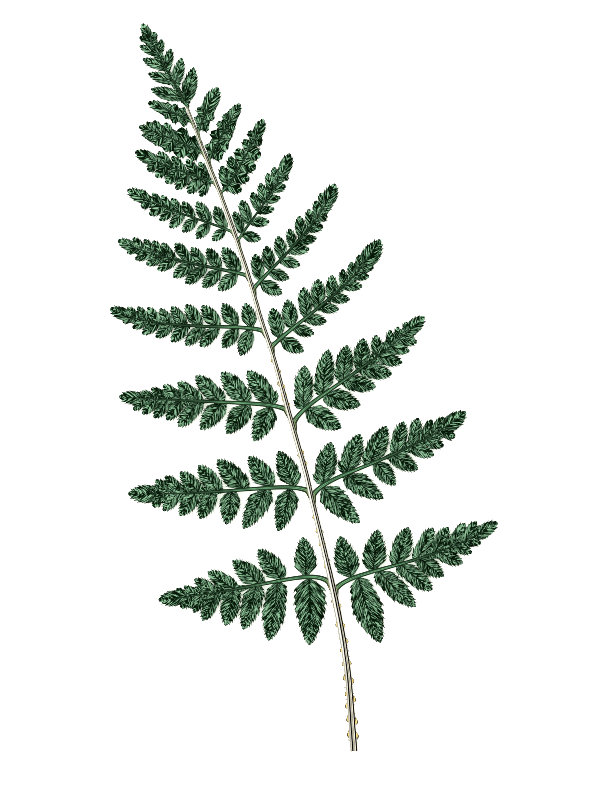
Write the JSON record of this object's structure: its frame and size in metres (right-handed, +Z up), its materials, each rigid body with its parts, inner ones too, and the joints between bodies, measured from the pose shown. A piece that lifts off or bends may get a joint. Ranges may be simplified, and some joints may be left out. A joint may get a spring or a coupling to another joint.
{
  "type": "narrow buckler fern frond",
  "caption": "Picked frond of a narrow buckler fern lying face up: scaly grooved stalk, paired arched pinnae cut into toothed leaflets",
  "frame": {"origin": "centre of the frond's box in plan, on the surface that it lies on", "axes": "+Y along the frond from the cut end of its stalk to its tip, +X towards its right side seen from above, +Z up"},
  "size_m": [0.1744, 0.3796, 0.0056],
  "materials": {
    "leaf": "satin green leaf, paler below",
    "stalk": "pale straw stem with dark grooves and golden scales"
  },
  "bodies": {
    "root": {"stipe_and_rachis": "stalk", "pinna_left_1": "leaf", "pinna_left_2": "leaf", "pinna_left_3": "leaf", "pinna_left_4": "leaf", "pinna_left_5": "leaf", "pinna_left_6": "leaf", "pinna_left_7": "leaf", "pinna_left_8": "leaf", "pinna_left_9": "leaf", "pinna_right_1": "leaf", "pinna_right_2": "leaf", "pinna_right_3": "leaf", "pinna_right_4": "leaf", "pinna_right_5": "leaf", "pinna_right_6": "leaf", "pinna_right_7": "leaf", "pinna_right_8": "leaf", "pinna_right_9": "leaf", "frond_tip": "leaf"}
  },
  "joints": []
}
